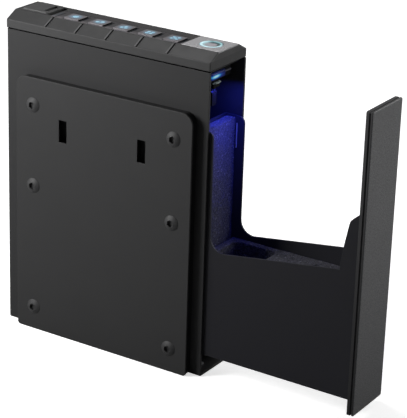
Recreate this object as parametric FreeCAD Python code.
import FreeCAD, Part
import math
import os
from FreeCAD import Vector

# Slide-out handgun safe, in millimetres.  Origin: centre of the housing's base.
# The drawer opens towards +X (front), the mounting plate is on the -Y side, +Z is up.
# The drawer is modelled at full extension.

os.makedirs("parts", exist_ok=True)

# ---------------------------------------------------------------- driving sizes
HOUSING_LENGTH, HOUSING_WIDTH, HOUSING_HEIGHT = 206.0, 55.0, 270.0
SHEET = 2.0                      # housing sheet
TRAVEL = 146.0                   # drawer travel, closed to fully open
FIT = 0.1                        # gap between fitted sheets and the housing
CAP_SIDE = 8.0                   # vertical side of the top cap
CAP_RISE = 14.3                  # total height of the cap
CAP_INSET = 12.0                 # horizontal run of each long chamfer
CAP_WALL = 2.0
DOOR_THICK, DOOR_HALF = 6.0, 24.7              # thickness, half width
DOOR_Z0, DOOR_Z1 = 5.6, 266.2
TRAY_SHEET = 1.5
TRAY_Z0 = 19.8                   # lower edge of the tray skirts
TRAY_FLOOR = 33.4                # underside of the tray floor
COLUMN_Z = 220.0                 # top of the tray's rear column
COLUMN_X = 106.5                 # front edge of the rear column
CEILING_Z, CEILING_THICK = 267.0, 1.5          # underside, thickness
BULKHEAD_X0, BULKHEAD_THICK = -64.5, 1.5       # rear face, thickness
PLATE_Y, PLATE_THICK = -35.5, 1.5              # outer face, thickness
LOCK_X = -87.0                   # key cylinder axis
STRIKER_Y, STRIKER_Z = -12.0, 207.0
EJECTOR_Y, EJECTOR_Z = 12.0, 180.0

REAR, FRONT = -HOUSING_LENGTH / 2, HOUSING_LENGTH / 2
HALF_WIDTH = HOUSING_WIDTH / 2
INNER_HALF = HALF_WIDTH - SHEET
CAP_TOP = HOUSING_HEIGHT + CAP_RISE
FACE_Z = CAP_TOP - 1.0           # floor of the shallow recess in the cap
TRAY_X0, TRAY_X1 = FRONT - 16.5, FRONT - DOOR_THICK + TRAVEL
TRAY_HALF = DOOR_HALF - TRAY_SHEET             # inside half width
DOOR_X0, DOOR_X1 = TRAY_X1, TRAY_X1 + DOOR_THICK
CEILING_TOP = CEILING_Z + CEILING_THICK
BULKHEAD_X1 = BULKHEAD_X0 + BULKHEAD_THICK

X_AXIS, Y_AXIS, Z_AXIS = (1, 0, 0), (0, 1, 0), (0, 0, 1)


# ---------------------------------------------------------------- helpers
def box(x0, x1, y0, y1, z0, z1):
    return Part.makeBox(x1 - x0, y1 - y0, z1 - z0, Vector(x0, y0, z0))


def side_boxes(x0, x1, y0, y1, z0, z1):
    """A box and its mirror image across the XZ plane, -Y one first."""
    return [box(x0, x1, -y1, -y0, z0, z1), box(x0, x1, y0, y1, z0, z1)]


def cyl(radius, base, axis, length):
    return Part.makeCylinder(radius, length, Vector(*base), Vector(*axis))


def cone(radius0, radius1, base, axis, length):
    return Part.makeCone(radius0, radius1, length, Vector(*base), Vector(*axis))


def prism(points, run):
    """A closed polygon of 3D points, extruded by the vector run."""
    corners = [Vector(*point) for point in points]
    return Part.Face(Part.makePolygon(corners + corners[:1])).extrude(Vector(*run))


def prism_xz(points, y0, y1):
    return prism([(x, y0, z) for x, z in points], (0, y1 - y0, 0))


def fuse(first, *others):
    return first.fuse(list(others)).removeSplitter()


def cut(body, *tools):
    return body.cut(list(tools))


def straight_along(axis):
    """An edge test: straight and parallel to one axis (0, 1 or 2)."""
    def test(edge):
        if len(edge.Vertexes) != 2:
            return False
        span = edge.Vertexes[1].Point.sub(edge.Vertexes[0].Point)
        sizes = [abs(span.x), abs(span.y), abs(span.z)]
        return sizes[axis] > 1e-6 and sum(sizes) - sizes[axis] < 1e-6
    return test


along_x, along_y, along_z = (straight_along(axis) for axis in range(3))


def after_x(x):
    return lambda edge: edge.BoundBox.XMin > x


def before_x(x):
    return lambda edge: edge.BoundBox.XMax < x


def before_y(y):
    return lambda edge: edge.BoundBox.YMax < y


def above(z):
    return lambda edge: edge.BoundBox.ZMin > z


def below(z):
    return lambda edge: edge.BoundBox.ZMax < z


def rounded(shape, radius, *tests):
    """Fillets the edges that pass every test."""
    edges = [edge for edge in shape.Edges if all(test(edge) for test in tests)]
    # Guards against a fillet the kernel can't make: the shape then stays sharp.
    try:
        result = shape.makeFillet(radius, edges)
        if result.isValid() and result.Volume > 0:
            return result
    except Exception:
        pass
    return shape


def hexagon(across_flats, base, axis, length):
    """A hexagonal prism along X, Y or Z."""
    x, y, z = base
    radius = across_flats / math.sqrt(3)
    points = []
    for k in range(6):
        angle = math.radians(60 * k + 30)
        a, b = radius * math.cos(angle), radius * math.sin(angle)
        if axis == Z_AXIS:
            points.append((x + a, y + b, z))
        elif axis == Y_AXIS:
            points.append((x + a, y, z + b))
        else:
            points.append((x, y + a, z + b))
    return prism(points, Vector(*axis) * length)


def spring(base, axis, length, radius, wire, turns):
    """A coil spring of wire radius wire that fills length along axis."""
    rise = length - 2 * wire
    helix = Part.makeHelix(rise / turns, rise, radius)
    helix.translate(Vector(0, 0, wire))
    section = Part.Wire([Part.makeCircle(wire, Vector(radius, 0, wire), Vector(0, 1, 0))])
    coil = Part.Wire(helix.Edges).makePipeShell([section], True, True).copy()
    turn = FreeCAD.Rotation(Vector(0, 0, 1), Vector(*axis))
    coil.Placement = FreeCAD.Placement(Vector(*base), turn)
    return coil


def wire_run(points, radius):
    """A round lead that follows a smooth line through the points."""
    curve = Part.BSplineCurve()
    curve.interpolate([Vector(*point) for point in points])
    tangent = curve.tangent(curve.FirstParameter)[0]
    section = Part.Wire([Part.makeCircle(radius, Vector(*points[0]), tangent)])
    return Part.Wire([curve.toShape()]).makePipeShell([section], True, True)


def cross_recess(x, y, half_length, half_width, z0, z1):
    """Two crossed boxes that cut a driver recess in a vertical screw."""
    return [
        box(x - half_length, x + half_length, y - half_width, y + half_width, z0, z1),
        box(x - half_width, x + half_width, y - half_length, y + half_length, z0, z1),
    ]


def save(name, shapes):
    """Writes the solids of a shape, or of a list of shapes, as one STEP file."""
    shapes = shapes if isinstance(shapes, list) else [shapes]
    parts = [solid for shape in shapes for solid in shape.Solids]
    assert parts and all(part.isValid() for part in parts), name
    out = parts[0] if len(parts) == 1 else Part.makeCompound(parts)
    out.exportStep("parts/%s.step" % name)


def piece(build):
    """Decorator: builds a piece at once and saves it under its function's name."""
    save(build.__name__, build())
    return build


# ---------------------------------------------------------------- housing
ANCHOR_RADIUS, ANCHOR_Y, ANCHOR_ZS = 4.25, 15.0, (60.0, 230.0)
BOARD_Z = 273.4                  # underside of the control board
POSTS = [(x, y) for x in (-50.0, 54.0) for y in (-17.0, 17.0)]        # board posts
CAP_SCREWS = [(x, y) for x in (-76.0, 75.0) for y in (-20.0, 20.0)]
GROMMET_X, GROMMET_Y = -89.0, 19.0


@piece
def housing_shell():
    outer = box(REAR, FRONT, -HALF_WIDTH, HALF_WIDTH, 0, HOUSING_HEIGHT)
    outer = rounded(outer, 1.6, along_z, before_x(FRONT - 1))
    outer = rounded(outer, 0.9, below(0.01), lambda edge: edge.BoundBox.XMin < FRONT - 0.5)
    shell = cut(outer, box(REAR + SHEET, FRONT + 5, -INNER_HALF, INNER_HALF,
                           SHEET, HOUSING_HEIGHT + 5))
    for z in ANCHOR_ZS:
        for y in (-ANCHOR_Y, ANCHOR_Y):
            shell = cut(shell, cyl(ANCHOR_RADIUS, (REAR - 1, y, z), X_AXIS, SHEET + 2))
    return shell


@piece
def compartment_ceiling():
    """The sheet between the drawer space and the control head, with end lips."""
    x0, x1, half = REAR + SHEET + FIT, FRONT - 5.2, INNER_HALF - FIT
    lip_top = HOUSING_HEIGHT - FIT
    ceiling = fuse(
        box(x0, x1, -half, half, CEILING_Z, CEILING_TOP),
        box(x1 - 1.5, x1, -half, half, CEILING_Z, lip_top),
        box(x0, x0 + 1.5, -half, half, CEILING_Z, lip_top),
    )
    for x, y in POSTS:
        ceiling = fuse(ceiling, cyl(3.0, (x, y, CEILING_TOP), Z_AXIS, BOARD_Z - CEILING_TOP))
        ceiling = cut(ceiling, cyl(1.25, (x, y, CEILING_TOP + 0.5), Z_AXIS, 10))
    holes = [(1.9, x, y) for x, y in CAP_SCREWS]
    holes += [(8.6, LOCK_X, 0), (3.5, GROMMET_X, GROMMET_Y), (2.5, 82.0, 0)]
    for radius, x, y in holes:
        ceiling = cut(ceiling, cyl(radius, (x, y, CEILING_Z - 1), Z_AXIS, 4))
    return ceiling


# ---------------------------------------------------------------- rear bulkhead
GUIDE_Y, GUIDE_ZS = -3.5, (223.5, 244.0)       # screws that guide the latch bolt
BUMPER_Y, BUMPER_Z = 17.0, 152.0


@piece
def rear_bulkhead():
    x0, x1, half = BULKHEAD_X0, BULKHEAD_X1, INNER_HALF - FIT
    sheet = box(x0, x1, -half, half, SHEET, CEILING_Z)
    for flange in side_boxes(x0 - 8, x0, half - 1.5, half, SHEET, CEILING_Z - 12):
        sheet = fuse(sheet, flange)
    spring_lug = box(x0 - 7.5, x0, 21.0, 22.6, 203.0, 213.0)
    sheet = fuse(sheet, spring_lug)
    striker_window = box(x0 - 1, x1 + 1, STRIKER_Y - 4.5, STRIKER_Y + 4.5, 194.0, 220.0)
    battery_window = box(x0 - 1, x1 + 1, -16.2, 16.2, 24.0, 136.0)
    ejector_hole = cyl(5.15, (x0 - 1, EJECTOR_Y, EJECTOR_Z), X_AXIS, 5)
    sheet = cut(sheet, striker_window, battery_window, ejector_hole)
    for z in GUIDE_ZS:
        sheet = cut(sheet, cyl(1.5, (x0 - 1, GUIDE_Y, z), X_AXIS, 5))
    return sheet


@piece
def drawer_bumpers():
    """Rubber stops for the closed drawer."""
    return [rounded(cyl(5.0, (BULKHEAD_X1, y, BUMPER_Z), X_AXIS, 3.2), 0.8,
                    after_x(BULKHEAD_X1 + 1))
            for y in (-BUMPER_Y, BUMPER_Y)]


# ---------------------------------------------------------------- drawer slide
RAIL_LENGTH = 147.0              # each slide member
RAIL_SHEET = 1.4
OUTER_X0 = -52.0                 # rear end of each member
MIDDLE_X0 = OUTER_X0 + TRAVEL / 2
INNER_X0 = OUTER_X0 + TRAVEL
OUTER_Z0, OUTER_HALF = 20.4, 22.5              # underside, half width
MIDDLE_Z0, MIDDLE_HALF = 22.3, 18.6
INNER_RAIL_HALF = 14.7
INNER_WEB_Z = TRAY_FLOOR - RAIL_SHEET
OUTER_SCREWS = [OUTER_X0 + x for x in (12.0, 73.5, 133.0)]
INNER_SCREWS = [INNER_X0 + x for x in (14.0, 73.5, 131.0)]
BALL_RADIUS = 1.75
OUTER_ROW = (19.85, 25.6)        # ball rows: distance from the centre line, height
INNER_ROW = (15.95, 29.6)


def races(x0, row):
    """The two ball grooves of a row, as cutting cylinders through a member."""
    y, z = row
    return [cyl(BALL_RADIUS + 0.05, (x0 - 1, side * y, z), X_AXIS, RAIL_LENGTH + 2)
            for side in (-1, 1)]


def channel(x0, half, z0, z1):
    """An upward-opening slide member with rounded lower edges."""
    x1 = x0 + RAIL_LENGTH
    body = fuse(
        box(x0, x1, -half, half, z0, z0 + RAIL_SHEET),
        *side_boxes(x0, x1, half - RAIL_SHEET, half, z0, z1),
    )
    return rounded(body, 1.0, along_x, below(z0 + 0.01))


def flat_screw(x, face_z, up, shank, recess_z0, recess_z1):
    """A flat-head screw, head flush with face_z, shank going up (1) or down (-1)."""
    axis = (0, 0, up)
    screw = fuse(
        cone(3.4, 1.95, (x, 0, face_z), axis, RAIL_SHEET),
        cyl(1.95, (x, 0, face_z + up * 1.3), axis, shank),
    )
    return cut(screw, *cross_recess(x, 0, 2.2, 0.4, recess_z0, recess_z1))


@piece
def slide_pedestal():
    x0, x1, half, top = -54.0, 94.0, 20.0, OUTER_Z0
    pedestal = fuse(
        box(x0, x1, -half, half, top - 1.5, top),
        *side_boxes(x0, x1, half - 1.5, half, SHEET, top),
        *side_boxes(x0, x1, 8.0, half - 1.5, SHEET, SHEET + 1.5),
    )
    for x in OUTER_SCREWS:
        pedestal = cut(pedestal, cyl(2.0, (x, 0, 15), Z_AXIS, 10))
    return pedestal


@piece
def slide_outer_member():
    member = channel(OUTER_X0, OUTER_HALF, OUTER_Z0, 32.4)
    member = cut(member, *races(OUTER_X0, OUTER_ROW))
    for x in OUTER_SCREWS:
        member = cut(member, cone(1.99, 3.45, (x, 0, OUTER_Z0), Z_AXIS, RAIL_SHEET))
    return member


@piece
def slide_middle_member():
    member = channel(MIDDLE_X0, MIDDLE_HALF, MIDDLE_Z0, 32.2)
    member = cut(member, *races(MIDDLE_X0, OUTER_ROW), *races(MIDDLE_X0, INNER_ROW))
    for x in (MIDDLE_X0 + 30, MIDDLE_X0 + RAIL_LENGTH - 30):
        member = cut(member, box(x - 12, x + 12, -6, 6, 22, 24))
    return member


@piece
def slide_inner_member():
    x0, x1, half = INNER_X0, INNER_X0 + RAIL_LENGTH, INNER_RAIL_HALF
    member = fuse(
        box(x0, x1, -half, half, INNER_WEB_Z, TRAY_FLOOR),
        *side_boxes(x0, x1, half - RAIL_SHEET, half, 26.0, TRAY_FLOOR),
    )
    member = cut(member, *races(x0, INNER_ROW))
    for x in INNER_SCREWS:
        member = cut(member, cone(3.45, 1.99, (x, 0, INNER_WEB_Z), Z_AXIS, RAIL_SHEET))
    return member


def ball_xs(centre_x):
    return [centre_x - 27.5 + 11 * k for k in range(6)]


def ball_retainer(centre_x, row):
    """A pierced strip on each side, one hole to a ball."""
    strips = []
    for side in (-1, 1):
        y, z = side * row[0], row[1]
        strip = box(centre_x - 34, centre_x + 34, y - 0.4, y + 0.4, z - 2.1, z + 2.1)
        for x in ball_xs(centre_x):
            strip = cut(strip, cyl(BALL_RADIUS + 0.1, (x, y - 2, z), Y_AXIS, 4))
        strips.append(strip)
    return strips


def ball_set(centre_x, row):
    return [Part.makeSphere(BALL_RADIUS, Vector(x, side * row[0], row[1]))
            for side in (-1, 1) for x in ball_xs(centre_x)]


# Each set of balls lies midway between the two members it joins.
for row_name, row, travel_share in (("outer", OUTER_ROW, 0.25), ("inner", INNER_ROW, 0.75)):
    row_x = OUTER_X0 + RAIL_LENGTH / 2 + TRAVEL * travel_share
    save(row_name + "_ball_retainer", ball_retainer(row_x, row))
    save(row_name + "_balls", ball_set(row_x, row))

# ---------------------------------------------------------------- drawer
DOOR_SCREWS = [(y, z) for z in (110.0, 160.0) for y in (-13.0, 13.0)]
FOAM_Z0 = TRAY_FLOOR + TRAY_SHEET + 0.2
FOAM_Z1 = 112.5                  # top of the foam block

# (x, z) down the sloping front of the tray side and along to the cut-out's corner
TRAY_SLOPE = [
    (TRAY_X1, 181.1), (238.1, 176.8), (235.6, 174.2), (234.6, 171.0), (232.7, 161.1),
    (231.2, 153.3), (229.6, 142.8), (228.5, 131.1), (COLUMN_X + 12.9, 116.1),
]


def tray_side():
    """(x, z) outline of the tray's side sheets."""
    outline = [(TRAY_X0, TRAY_Z0), (TRAY_X1, TRAY_Z0)] + TRAY_SLOPE
    inner, outer = 12.5, 6.0     # radii of the cut-out corner and the column's top corner
    for k in range(1, 8):
        angle = math.radians(-82 - 98 * k / 8.0)
        outline.append((COLUMN_X + inner + inner * math.cos(angle),
                        128.7 + inner * math.sin(angle)))
    outline += [(COLUMN_X, 129.5), (COLUMN_X, COLUMN_Z - outer)]
    for k in range(1, 7):
        angle = math.radians(90.0 * k / 6)
        outline.append((COLUMN_X - outer + outer * math.cos(angle),
                        COLUMN_Z - outer + outer * math.sin(angle)))
    return outline + [(TRAY_X0, COLUMN_Z)]


@piece
def drawer_tray():
    x0, x1, half, sheet = TRAY_X0, TRAY_X1, TRAY_HALF, TRAY_SHEET
    outline = tray_side()
    tray = fuse(
        prism_xz(outline, -DOOR_HALF, -half),
        prism_xz(outline, half, DOOR_HALF),
        box(x0, x1, -half, half, TRAY_FLOOR, TRAY_FLOOR + sheet),
        box(x0, x0 + sheet, -half, half, TRAY_FLOOR, COLUMN_Z),
        box(x1 - sheet, x1, -half, half, TRAY_FLOOR, 172.0),
    )
    for x in INNER_SCREWS:
        tray = cut(tray, cyl(1.97, (x, 0, 30), Z_AXIS, 8))
    for y, z in DOOR_SCREWS:
        tray = cut(tray, cyl(2.2, (x1 - 4, y, z), X_AXIS, 5))
    return tray


@piece
def door_panel():
    door = box(DOOR_X0, DOOR_X1, -DOOR_HALF, DOOR_HALF, DOOR_Z0, DOOR_Z1)
    door = rounded(door, 1.6, along_x)
    door = rounded(door, 0.9, after_x(DOOR_X1 - 0.01))
    # shadow groove round the edge, between the steel leaf and its grained front skin
    half, depth = DOOR_HALF, 1.2
    door = cut(door, cut(
        box(DOOR_X0 + 2.7, DOOR_X0 + 4.3, -half - 1, half + 1, DOOR_Z0 - 1, DOOR_Z1 + 1),
        box(DOOR_X0 + 2.0, DOOR_X0 + 5.0, -half + depth, half - depth,
            DOOR_Z0 + depth, DOOR_Z1 - depth)))
    for y, z in DOOR_SCREWS:
        door = cut(door, cyl(2.0, (DOOR_X0 - 1, y, z), X_AXIS, 4.6))
    return door


def door_screw(y, z):
    face_x = TRAY_X1 - TRAY_SHEET
    head = cyl(3.6, (face_x - 2.2, y, z), X_AXIS, 2.2)
    head = rounded(head, 1.0, before_x(face_x - 2.1))
    screw = fuse(head, cyl(1.98, (face_x - 0.1, y, z), X_AXIS, 4.8))
    x0, x1 = face_x - 2.3, face_x - 1.0
    return cut(screw, box(x0, x1, y - 0.4, y + 0.4, z - 2, z + 2),
               box(x0, x1, y - 2, y + 2, z - 0.4, z + 0.4))


@piece
def drawer_screws():
    """The screws from tray to door, and from slide to tray floor."""
    return ([door_screw(y, z) for y, z in DOOR_SCREWS]
            + [flat_screw(x, INNER_WEB_Z, 1, 1.6, 31, 32.7) for x in INNER_SCREWS])


@piece
def rear_foam_pad():
    half = TRAY_HALF - 0.3
    pad = box(TRAY_X0 + TRAY_SHEET + 0.2, 99.0, -half, half, FOAM_Z0, COLUMN_Z - 0.5)
    return rounded(pad, 2.0, along_y, above(200))


@piece
def floor_foam_block():
    half = TRAY_HALF - 0.4
    return cut(
        box(99.4, 238.6, -half, half, FOAM_Z0, FOAM_Z1),
        rounded(box(108, 148, -15, 15, 52, 130), 5, along_z),
        rounded(box(186, 224, -12, 12, 46, 130), 4, along_z),
    )


@piece
def foam_retainers():
    """Two strips that hold the front edges of the rear pad."""
    return side_boxes(99.2, 99.9, TRAY_HALF - 1.0, TRAY_HALF, 192.0, 213.6)


@piece
def striker_loop():
    """A round-bar loop on a base plate, on the rear of the tray."""
    root_x, rear_x = TRAY_X0 - 1.0, 74.2
    bend, leg = 4.0, 8.0         # bend radius, height of each leg from the centre
    bend_x = rear_x + bend
    diagonal = bend * math.sin(math.pi / 4)
    middle_x, middle_z = bend_x - diagonal, bend + diagonal

    def at(x, height):
        return Vector(x, STRIKER_Y, STRIKER_Z + height)

    path = Part.Wire([
        Part.makeLine(at(root_x, leg), at(bend_x, leg)),
        Part.Arc(at(bend_x, leg), at(middle_x, middle_z), at(rear_x, bend)).toShape(),
        Part.makeLine(at(rear_x, bend), at(rear_x, -bend)),
        Part.Arc(at(rear_x, -bend), at(middle_x, -middle_z), at(bend_x, -leg)).toShape(),
        Part.makeLine(at(bend_x, -leg), at(root_x, -leg)),
    ])
    section = Part.Wire([Part.makeCircle(2.5, at(root_x, leg), Vector(1, 0, 0))])
    loop = path.makePipeShell([section], True, True)
    base = box(TRAY_X0 - 1.6, TRAY_X0, STRIKER_Y - 8, STRIKER_Y + 8, 193.0, 219.5)
    return fuse(rounded(base, 2.0, along_x), loop)


# ---------------------------------------------------------------- latch
BOLT_STROKE = 7.0
BOLT_X0, BOLT_X1 = BULKHEAD_X0 - 4.1, BULKHEAD_X0 - 0.1
SOLENOID_X, SOLENOID_Z = -74.0, 233.0
SOLENOID_Y0, SOLENOID_Y1 = 9.6, 23.7


@piece
def latch_bolt():
    x0, x1 = BOLT_X0, BOLT_X1
    bolt = fuse(
        box(x0, x1, -1.0, 7.5, 197.0, 219.5),
        box(x0, x1, -8.5, 0.0, 203.0, 211.0),            # nose that enters the striker
        box(x0, x1, -7.5, 7.5, 219.0, 249.0),            # body with the guide slots
        box(x0, x1, 2.7, 7.5, 248.0, 256.0),
        box(-80.0, x1, 2.7, 5.5, 250.5, 253.8),          # arm towards the key lock
        box(-78.0, x0 + 0.5, 4.5, 7.5, 229.0, 237.0),    # lug for the plunger
    )
    radius = 2.55
    for z in GUIDE_ZS:
        y0, y1 = GUIDE_Y, GUIDE_Y + BOLT_STROKE
        bolt = cut(bolt, fuse(
            box(x0 - 1, x1 + 1, y0, y1, z - radius, z + radius),
            *[cyl(radius, (x0 - 1, y, z), X_AXIS, 6) for y in (y0, y1)]))
    return cut(bolt, cyl(1.52, (SOLENOID_X, 0, SOLENOID_Z), Y_AXIS, 12))


def on_solenoid_axis(radius, y, length):
    return cyl(radius, (SOLENOID_X, y, SOLENOID_Z), Y_AXIS, length)


@piece
def solenoid_plunger():
    return fuse(on_solenoid_axis(3.0, 7.5, 14.3), on_solenoid_axis(1.5, 3.6, 4.2))


def guide_screw(z):
    screw = fuse(
        cyl(2.5, (BOLT_X0 - 0.1, GUIDE_Y, z), X_AXIS, BOLT_X1 - BOLT_X0 + 0.2),
        cyl(1.48, (BOLT_X1, GUIDE_Y, z), X_AXIS, 1.9),
        rounded(cyl(4.4, (BOLT_X0 - 2.3, GUIDE_Y, z), X_AXIS, 2.2), 0.7,
                before_x(BOLT_X0 - 2.2)),
    )
    return cut(screw, hexagon(3.0, (BOLT_X0 - 2.4, GUIDE_Y, z), X_AXIS, 1.6))


@piece
def inner_fixing_screws():
    """The screws of the outer slide member, and those that guide the bolt."""
    face_z = OUTER_Z0 + RAIL_SHEET
    return ([flat_screw(x, face_z, -1, 4.6, 21.0, 23) for x in OUTER_SCREWS]
            + [guide_screw(z) for z in GUIDE_ZS])


@piece
def latch_spring():
    return spring((-67.2, 7.55, 208.0), Y_AXIS, length=13.4, radius=1.9, wire=0.35, turns=8)


@piece
def solenoid_frame():
    """Steel frame round the coil that pulls the bolt clear of the striker."""
    y0, y1 = SOLENOID_Y0, SOLENOID_Y1
    return cut(
        box(-83.5, BULKHEAD_X0, y0, y1, 223.5, 242.5),
        box(-82.0, BULKHEAD_X0 - 1.5, y0 + 1.5, y1 - 1.5, 222, 244),
        on_solenoid_axis(3.15, y0 - 1, 20),
    )


@piece
def solenoid_coil():
    y0, y1 = SOLENOID_Y0, SOLENOID_Y1
    bore = on_solenoid_axis(3.3, y0, 20)
    winding = cut(on_solenoid_axis(7.9, y0 + 1.6, y1 - y0 - 3.2), bore)
    flanges = [box(-81.8, BULKHEAD_X0 - 1.6, y, y + 0.8, 224.2, 241.8)
               for y in (y0 + 1.55, y1 - 2.35)]
    return cut(fuse(winding, *flanges), bore)


# ---------------------------------------------------------------- ejector
# It pushes the released drawer out.
def on_ejector_axis(radius, x, length):
    return cyl(radius, (x, EJECTOR_Y, EJECTOR_Z), X_AXIS, length)


@piece
def ejector_barrel():
    return cut(
        fuse(on_ejector_axis(7.2, -96.0, BULKHEAD_X0 + 96.0),
             box(BULKHEAD_X0 - 2.0, BULKHEAD_X0, EJECTOR_Y - 10.5, EJECTOR_Y + 10.5,
                 EJECTOR_Z - 9, EJECTOR_Z + 9)),
        on_ejector_axis(5.0, -94.5, 40),
    )


@piece
def ejector_plunger():
    return rounded(on_ejector_axis(4.95, -86.0, 26.4), 1.0, after_x(-60.5))


@piece
def ejector_spring():
    return spring((-94.4, EJECTOR_Y, EJECTOR_Z), X_AXIS,
                  length=8.3, radius=3.4, wire=0.45, turns=5)


# ---------------------------------------------------------------- battery pack
CELL_X = -73.6
BATTERY_Z0, BATTERY_Z1 = 23.7, 136.3           # inside of the battery box
DIVIDER_Z0, DIVIDER_Z1 = 79.4, 80.6
# (y, bottom z, top z) of the four cell bays
BAYS = [(y, z0, z1) for y in (-7.7, 7.7)
        for z0, z1 in ((BATTERY_Z0, DIVIDER_Z0), (DIVIDER_Z1, BATTERY_Z1))]


@piece
def battery_box():
    holder = cut(
        box(-83.5, BULKHEAD_X0, -17.6, 17.6, BATTERY_Z0 - 1.5, BATTERY_Z1 + 1.5),
        box(-82.0, BULKHEAD_X0 + 1, -16.1, 16.1, BATTERY_Z0, BATTERY_Z1),
    )
    holder = fuse(holder, box(-82.0, -70.0, -16.1, 16.1, DIVIDER_Z0, DIVIDER_Z1))
    return cut(holder, cyl(2.4, (-76.0, 13.0, 136.0), Z_AXIS, 4))


@piece
def batteries():
    cells = []
    for y, z0, z1 in BAYS:
        can = rounded(cyl(7.1, (CELL_X, y, z0 + 3.4), Z_AXIS, 49.3), 0.6)
        cells.append(fuse(can, cyl(2.6, (CELL_X, y, z0 + 52.6), Z_AXIS, 1.2)))
    return cells


@piece
def battery_contacts():
    """A plate at each end of a bay and a spring on the lower one."""
    contacts = []
    for y, z0, z1 in BAYS:
        contacts += [
            box(-80.5, -68.0, y - 6, y + 6, z1 - 0.6, z1),
            box(-80.5, -68.0, y - 6, y + 6, z0, z0 + 0.5),
            spring((CELL_X, y, z0 + 0.55), Z_AXIS, length=2.8, radius=3.2, wire=0.3, turns=2),
        ]
    return contacts


@piece
def battery_door():
    door = box(BULKHEAD_X1, BULKHEAD_X1 + 1.5, -18.5, 18.5, 20.5, 140.5)
    tabs = [box(BULKHEAD_X0 - 1.3, BULKHEAD_X1, -5, 5, z, z + 1.2) for z in (134.6, 24.2)]
    return fuse(rounded(door, 1.2, along_x), *tabs)


# ---------------------------------------------------------------- mounting plate
PLATE_X, PLATE_LENGTH, PLATE_HEIGHT = 3.0, 180.0, 234.3        # X is the plate's middle
PLATE_X0, PLATE_X1 = PLATE_X - PLATE_LENGTH / 2, PLATE_X + PLATE_LENGTH / 2
PLATE_BACK = PLATE_Y + PLATE_THICK             # face towards the housing
PLATE_BOLTS = [(PLATE_X + side * 72.0, z) for z in (21.5, 136.5, 210.0) for side in (-1, 1)]
SLOT_OFFSET, SLOT_Z, SLOT_WIDTH, SLOT_HEIGHT = 40.4, 192.3, 8.2, 20.0


def plate_blank(inset, y0, y1):
    """The plate's outline drawn in by inset, with large top and small bottom corners."""
    blank = box(PLATE_X0 + inset, PLATE_X1 - inset, y0, y1, inset, PLATE_HEIGHT - inset)
    blank = rounded(blank, 10.0 - inset, along_y, above(200))
    return rounded(blank, 3.0 - inset, along_y, below(1))


@piece
def plate_gasket():
    """Soft spacer round the plate's border, between it and the housing."""
    border = 8.5
    opening = box(PLATE_X0 + border, PLATE_X1 - border, PLATE_BACK - 1, -HALF_WIDTH + 1,
                  border, PLATE_HEIGHT - border)
    return cut(plate_blank(0.5, PLATE_BACK, -HALF_WIDTH), rounded(opening, 4.0, along_y))


def plate_screw(x, z):
    """A button head, which is a low dome with a hexagon socket, and its shank."""
    head_radius, head_rise = 6.9, 2.6
    dome_radius = (head_radius ** 2 + head_rise ** 2) / (2 * head_rise)
    dome = Part.makeSphere(dome_radius, Vector(x, PLATE_Y - head_rise + dome_radius, z))
    dome = dome.common(cyl(head_radius, (x, PLATE_Y - 2.3, z), Y_AXIS, 2.3))
    screw = fuse(dome, cyl(3.95, (x, PLATE_Y - 0.5, z), Y_AXIS, 8.2))
    return cut(screw, hexagon(5.6, (x, PLATE_Y - 5.0, z), Y_AXIS, 5.2))


@piece
def plate_screws():
    return [plate_screw(x, z) for x, z in PLATE_BOLTS]


@piece
def mounting_plate():
    """The slotted plate, with the threaded bosses welded to its back."""
    plate = plate_blank(0, PLATE_Y, PLATE_BACK)
    plate = rounded(plate, 0.4, before_y(PLATE_Y + 0.01))
    for x in (PLATE_X - SLOT_OFFSET, PLATE_X + SLOT_OFFSET):
        plate = cut(plate, box(x - SLOT_WIDTH / 2, x + SLOT_WIDTH / 2, PLATE_Y - 1,
                               PLATE_BACK + 1, SLOT_Z - SLOT_HEIGHT / 2,
                               SLOT_Z + SLOT_HEIGHT / 2))
    bosses = []
    for x, z in PLATE_BOLTS:
        plate = cut(plate, cyl(4.3, (x, PLATE_Y - 1, z), Y_AXIS, 5))
        bosses.append(cut(cyl(8.0, (x, PLATE_BACK, z), Y_AXIS, -HALF_WIDTH - PLATE_BACK),
                          cyl(4.0, (x, PLATE_BACK - 1, z), Y_AXIS, 10)))
    return fuse(plate, *bosses)


# ---------------------------------------------------------------- top cap
SHOULDER_Z = HOUSING_HEIGHT + CAP_SIDE         # where the long chamfers start
HINGE_X, HINGE_Z = -99.6, 283.4                # pin of the lid over the key lock
SENSOR_X, SENSOR_RADIUS, RING_RADIUS = 86.3, 7.4, 9.9
GROOVE_X0, GROOVE_PITCH, GROOVE_COUNT = -61.6, 30.8, 5


def chamfered_bar(x0, x1, half, base_z, shoulder_z, crown_half, crown_z):
    """A bar along X with the cap's six-sided section."""
    section = [(-half, base_z), (-half, shoulder_z), (-crown_half, crown_z),
               (crown_half, crown_z), (half, shoulder_z), (half, base_z)]
    return prism([(x0, y, z) for y, z in section], (x1 - x0, 0, 0))


def cap_inside(base_z, shoulder_z, crown_z):
    return chamfered_bar(REAR + CAP_WALL, FRONT - CAP_WALL, HALF_WIDTH - CAP_WALL, base_z,
                         shoulder_z, HALF_WIDTH - CAP_INSET - 0.6, crown_z)


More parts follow.
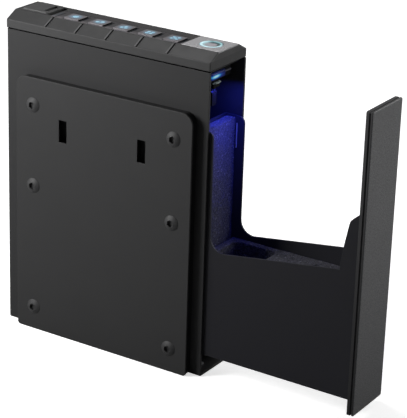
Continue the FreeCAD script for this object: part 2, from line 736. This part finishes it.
def groove_tools(x, side):
    """The raised lip and the cutter of one slanting groove on a chamfer."""
    slope = math.atan2(CAP_TOP - SHOULDER_Z, CAP_INSET)
    run = CAP_INSET / math.cos(slope) - 0.4
    # (x, z) sections, z square to the chamfer
    lip_section = [(-3.2, -0.3), (-3.2, 0.0), (-0.7, 0.32), (-0.5, -0.3)]
    cutter_section = [(-0.6, 0.5), (-0.6, -0.8), (0.0, -0.8), (1.0, -0.05), (1.0, 0.5)]
    tools = [prism_xz(lip_section, 0.7, run - 0.7), prism_xz(cutter_section, 0.4, run + 0.4)]
    for tool in tools:
        tool.rotate(Vector(0, 0, 0), Vector(1, 0, 0), math.degrees(slope))
        tool.translate(Vector(x, -HALF_WIDTH, SHOULDER_Z))
    if side > 0:
        tools = [tool.mirror(Vector(0, 0, 0), Vector(0, 1, 0)) for tool in tools]
    return tools


@piece
def top_cap():
    cap = chamfered_bar(REAR, FRONT, HALF_WIDTH, HOUSING_HEIGHT, SHOULDER_Z,
                        HALF_WIDTH - CAP_INSET, CAP_TOP)
    cap = rounded(cap, 0.8, along_x, above(HOUSING_HEIGHT + 1))
    cap = rounded(cap, 0.6, after_x(FRONT - 0.9),
                  lambda edge: edge.BoundBox.ZMax > HOUSING_HEIGHT + 1)
    cap = cut(cap, cap_inside(HOUSING_HEIGHT - 1, SHOULDER_Z - 0.9, CAP_TOP - CAP_WALL))
    key_cup = box(REAR + 1.0, -64.6, -14.5, 14.5, 278.0, CAP_TOP - CAP_WALL + 0.2)
    cap = fuse(cap, key_cup)
    for x, y in CAP_SCREWS:
        boss = cyl(3.6, (x, y, CEILING_TOP), Z_AXIS, 12).common(
            cap_inside(260, SHOULDER_Z - 0.6, CAP_TOP - CAP_WALL + 0.4))
        cap = fuse(cap, boss)
        cap = cut(cap, cyl(1.5, (x, y, CEILING_Z), Z_AXIS, 9.5))
    cap = cut(
        cap,
        box(-65.6, FRONT + 1, -15.4, 15.4, FACE_Z, CAP_TOP + 2),         # shallow recess
        box(-62.5, 66.0, -15.0, 13.0, CAP_TOP - CAP_WALL - 1, CAP_TOP),  # keypad opening
        box(-71.7, -66.6, -12.9, 12.9, 280.6, CAP_TOP + 2),              # trough by the lid
        cyl(10.3, (SENSOR_X, 0, CAP_TOP - CAP_WALL - 1), Z_AXIS, 4),
        box(REAR + 1.8, -71.8, -12.6, 12.6, 280.0, CAP_TOP + 2),         # lid recess
        cyl(8.1, (LOCK_X, 0, 270), Z_AXIS, 20),
    )
    for y in (-14.7, 12.0):      # hinge pin seats
        cap = cut(cap, cyl(0.75, (HINGE_X, y, HINGE_Z), Y_AXIS, 2.7))
    for k in range(GROOVE_COUNT):
        for side in (-1, 1):
            lip, cutter = groove_tools(GROOVE_X0 + GROOVE_PITCH * k, side)
            cap = cut(fuse(cap, lip), cutter)
    # reveal along the joint between cap and housing
    depth, half = 1.2, HALF_WIDTH
    reveal = cut(
        box(REAR - 1, FRONT + 1, -half - 1, half + 1, HOUSING_HEIGHT - 1, HOUSING_HEIGHT + 0.9),
        box(REAR + depth, FRONT - depth, -half + depth, half - depth,
            HOUSING_HEIGHT - 2, HOUSING_HEIGHT + 2))
    return cut(cap, reveal)


@piece
def cap_screws():
    screws = []
    for x, y in CAP_SCREWS:
        head = rounded(cyl(3.0, (x, y, CEILING_Z - 2.2), Z_AXIS, 2.2), 0.8,
                       below(CEILING_Z - 2.1))
        screw = fuse(head, cyl(1.48, (x, y, CEILING_Z - 0.1), Z_AXIS, 8.5))
        recess = cross_recess(x, y, 1.8, 0.35, CEILING_Z - 3, CEILING_Z - 1.2)
        screws.append(cut(screw, *recess))
    return screws


# ---------------------------------------------------------------- keypad
KEY_XS = [-45.4 + 25.2 * k for k in range(5)]
KEY_LENGTH, KEY_WIDTH, KEY_Y = 15.8, 14.2, -6.6
KEY_TOP = CAP_TOP + 1.2
PAD_X0, PAD_X1 = -65.4, 66.4     # ends of the bezel and the window


def key_block(x, grow_x, grow_y, z0, z1):
    """The plan of a key, grown on every side, between two heights."""
    half_x, half_y = KEY_LENGTH / 2 + grow_x, KEY_WIDTH / 2 + grow_y
    return box(x - half_x, x + half_x, KEY_Y - half_y, KEY_Y + half_y, z0, z1)


@piece
def keypad_bezel():
    bezel = box(PAD_X0, PAD_X1, -15.2, 4.4, FACE_Z, CAP_TOP + 0.1)
    for x in KEY_XS:
        bezel = cut(bezel, key_block(x, 0.35, 0.35, 280, 290))
    return bezel


@piece
def keypad_window():
    window = box(PAD_X0, PAD_X1, 4.6, 15.2, FACE_Z, CAP_TOP + 0.1)
    return rounded(window, 0.3, above(CAP_TOP + 0.05))


def key(x):
    """A rounded key top with a flange and a stem below."""
    top = key_block(x, 0, 0, FACE_Z - 1.0, KEY_TOP)
    top = rounded(top, 1.2, along_z)
    top = rounded(top, 0.5, above(KEY_TOP - 0.01))
    stem_z = 277.6
    return fuse(
        top,
        key_block(x, 1, 0.8, FACE_Z - 1.1, FACE_Z - 0.15),
        cyl(2.5, (x, KEY_Y, stem_z), Z_AXIS, FACE_Z - 1 - stem_z),
    )


for number, key_x in enumerate(KEY_XS, 1):
    save("key_%d" % number, key(key_x))


@piece
def key_membrane():
    membrane = box(-61, 65, -12, 12, 275.0, 275.6)
    for x in KEY_XS:
        membrane = fuse(membrane, cone(4.2, 2.6, (x, KEY_Y, 275.5), Z_AXIS, 1.1))
    return membrane


@piece
def control_board():
    board = box(-61.0, 65.0, -20.5, 20.5, BOARD_Z, BOARD_Z + 1.6)
    for x, y in POSTS:
        board = cut(board, cyl(1.3, (x, y, 270), Z_AXIS, 8))
    return fuse(                 # components hang from the underside
        board,
        box(-20, -8, -6, 6, 271.8, BOARD_Z),
        box(10, 17, -4, 4, 272.2, BOARD_Z),
        box(-58, -51, 6, 13.5, 270.8, BOARD_Z),
        box(56, 62, -6, 6, 271.0, BOARD_Z),
        cyl(5.5, (32, 6, BOARD_Z - 4.2), Z_AXIS, 4.2),
    )


# ---------------------------------------------------------------- fingerprint reader
def on_sensor_axis(radius, z, height):
    return cyl(radius, (SENSOR_X, 0, z), Z_AXIS, height)


@piece
def fingerprint_panel():
    panel = box(66.6, FRONT - 0.1, -15.2, 15.2, FACE_Z, CAP_TOP + 0.2)
    panel = rounded(panel, 0.35, above(CAP_TOP + 0.15))
    return cut(panel, on_sensor_axis(RING_RADIUS + 0.1, 280, 10))


@piece
def sensor_ring_light():
    ring = cut(on_sensor_axis(RING_RADIUS, CAP_TOP - 2.9, 3.2),
               on_sensor_axis(SENSOR_RADIUS + 0.15, 275, 15))
    return rounded(ring, 0.25, above(CAP_TOP + 0.25))


@piece
def fingerprint_sensor():
    """A flanged disc with a shallow spherical dish in its top."""
    sensor = fuse(on_sensor_axis(SENSOR_RADIUS, CAP_TOP - 6, 6.1),
                  on_sensor_axis(9.4, CAP_TOP - 6, 2.9))
    return cut(sensor, Part.makeSphere(60, Vector(SENSOR_X, 0, CAP_TOP + 59.5)))


# ---------------------------------------------------------------- key lock and its lid
CAM_Z0, CAM_Z1 = 251.2, 253.4
COVER_HALF = 12.3


def on_lock_axis(radius, z, height):
    return cyl(radius, (LOCK_X, 0, z), Z_AXIS, height)


@piece
def lock_cylinder():
    return cut(fuse(on_lock_axis(8.0, 254.0, 26.5), on_lock_axis(9.8, 280.0, 1.5)),
               on_lock_axis(5.05, 250, 40))


@piece
def lock_nut():
    return cut(hexagon(19.0, (LOCK_X, 0, 274.6), Z_AXIS, 3.3), on_lock_axis(8.02, 270, 10))


@piece
def lock_plug():
    plug = fuse(on_lock_axis(5.0, 253.6, 27.6), on_lock_axis(3.5, 249.0, 5.0))
    keyway = box(LOCK_X - 3.6, LOCK_X + 3.6, -0.8, 0.8, 266, 285)
    return cut(plug, keyway)


@piece
def lock_cam():
    cam = fuse(on_lock_axis(6.0, CAM_Z0, CAM_Z1 - CAM_Z0),
               box(LOCK_X - 2.5, LOCK_X + 2.5, -14.0, 0, CAM_Z0, CAM_Z1))
    cam = rounded(cam, 1.5, along_z, before_y(-13))
    return cut(cam, on_lock_axis(3.51, 250, 5))


@piece
def key_cover():
    """The lid over the key lock, hinged at the rear, with a finger recess in front."""
    front_x, top = -71.9, CAP_TOP + 1.5
    lid = prism_xz([
        (HINGE_X, HINGE_Z - 0.6), (front_x, HINGE_Z - 0.6), (front_x, CAP_TOP + 0.6),
        (front_x - 1.0, top), (HINGE_X + 4.0, top), (HINGE_X, HINGE_Z + 1.2),
    ], -COVER_HALF, COVER_HALF)
    lid = fuse(lid, cyl(1.2, (HINGE_X, -COVER_HALF, HINGE_Z), Y_AXIS, 2 * COVER_HALF))
    lid = rounded(lid, 0.7, above(CAP_TOP + 0.4), after_x(HINGE_X + 2))
    return cut(
        lid,
        rounded(box(-78.2, -73.4, -8.6, 9.4, CAP_TOP - 0.5, CAP_TOP + 4), 1.5, along_z),
        cyl(0.80, (HINGE_X, -20, HINGE_Z), Y_AXIS, 40),
    )


@piece
def cover_hinge_pin():
    return cyl(0.74, (HINGE_X, -14.5, HINGE_Z), Y_AXIS, 29.0)


# ---------------------------------------------------------------- interior light
LIGHT_Z = 256.5                  # underside of the lamp, top of the switch


@piece
def light_bar_housing():
    return cut(box(88.5, 94.0, -14.0, 18.4, LIGHT_Z, CEILING_Z),
               box(93.0, 95.0, -12.1, 8.5, 257.5, 263.5),
               box(93.4, 95.0, 8.3, 17.9, 260.5, 262.1))


@piece
def light_bar_lens():
    lens = rounded(box(93.0, 95.6, -12.0, 8.4, 257.6, 263.4), 1.1, after_x(95.5))
    return fuse(lens, box(93.5, 94.9, 8.0, 17.8, 260.6, 262.0))


@piece
def drawer_switch():
    """Microswitch that lights the lamp as the door leaves it, and its lever."""
    body = rounded(box(86.0, 94.4, -8.0, 2.0, 250.2, LIGHT_Z), 0.6, along_x)
    body = cut(body, box(93.0, 95.0, -7.0, 1.0, 253.4, 255.4))
    body = fuse(body, box(90.5, 92.0, -5.5, 1.2, 234.0, 246.0),
                box(90.5, 92.0, -3.6, -0.6, 245.0, 251.0))
    lever = rounded(box(93.1, 96.2, -6.7, 0.7, 253.7, 255.0), 0.6, after_x(96.1))
    return [body, lever]


# ---------------------------------------------------------------- wiring
def on_grommet_axis(radius, z, height):
    return cyl(radius, (GROMMET_X, GROMMET_Y, z), Z_AXIS, height)


@piece
def cable_grommet():
    return cut(
        fuse(on_grommet_axis(5.0, CEILING_Z - 1.2, 1.2),
             on_grommet_axis(3.45, CEILING_Z - 0.1, CEILING_THICK + 0.2),
             on_grommet_axis(5.0, CEILING_TOP, 1.2)),
        on_grommet_axis(2.5, CEILING_Z - 3, 8),
    )


def lead(d):
    """One lead from battery box to control board, offset by d from the pair's middle."""
    x, y = GROMMET_X + d, GROMMET_Y
    return wire_run([
        (-76.0 + d * 0.7, 13.0, 136.9), (-76.0 + d * 0.7, 13.0, 139.5),
        (-77.0 + d * 0.8, 13.5, 143.0), (-88.0 + d, 19.0, 152.0),
        (-91.0 + d, 22.6, 170.0), (-91.0 + d, 22.6, 200.0), (-90.0 + d, 22.0, 245.0),
        (x, y, 262.0), (x, y, 268.0), (x + 1.0, y - 0.8, 271.0 - d * 0.5),
        (-83.5, 14.4, 272.4 - d), (-75.0, 12.7, 272.4 - d),
        (-66.0, 11.4 + d * 0.4, 272.2 - d * 0.8), (-58.7, 10.0 + d, 272.0),
    ], 0.55)


@piece
def wiring_harness():
    return [lead(d) for d in (-1.05, 1.05)]
